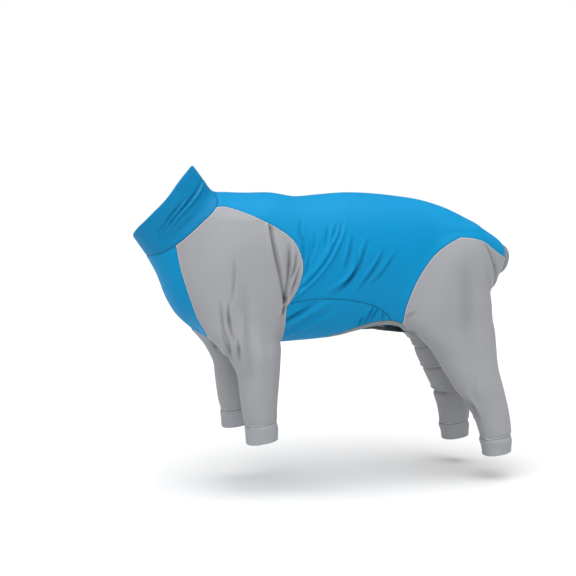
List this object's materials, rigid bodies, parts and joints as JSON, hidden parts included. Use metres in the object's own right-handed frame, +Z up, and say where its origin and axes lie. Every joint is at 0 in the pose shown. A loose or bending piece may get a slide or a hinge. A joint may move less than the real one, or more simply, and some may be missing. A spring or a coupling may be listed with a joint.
{
  "type": "dog jumpsuit",
  "caption": "Four-legged stretch jersey suit for a dog with a turtleneck collar, hemmed cuffs, a bound belly opening and a bound tail hole, in its worn form.",
  "frame": {"origin": "in the cloth of the back, over the dog's withers, on the middle plane", "axes": "+Z up, +X towards the tail, the suit faces -X and its left side faces -Y"},
  "size_m": [0.7545, 0.2388, 0.5687],
  "materials": {
    "collar_jersey": "smooth blue stretch jersey",
    "body_jersey": "smooth blue stretch jersey",
    "sleeve_jersey": "smooth grey stretch jersey",
    "cuff_jersey": "folded grey stretch jersey hem",
    "binding_jersey": "grey stretch binding"
  },
  "bodies": {
    "root": {"collar": "collar_jersey", "back_panel": "body_jersey", "belly_panel": "body_jersey", "front_sleeve_left": "sleeve_jersey", "front_sleeve_right": "sleeve_jersey", "hind_leg_left": "sleeve_jersey", "hind_leg_right": "sleeve_jersey", "front_cuff_left": "cuff_jersey", "front_cuff_right": "cuff_jersey", "hind_cuff_left": "cuff_jersey", "hind_cuff_right": "cuff_jersey", "belly_binding": "binding_jersey", "tail_binding": "binding_jersey"}
  },
  "joints": []
}
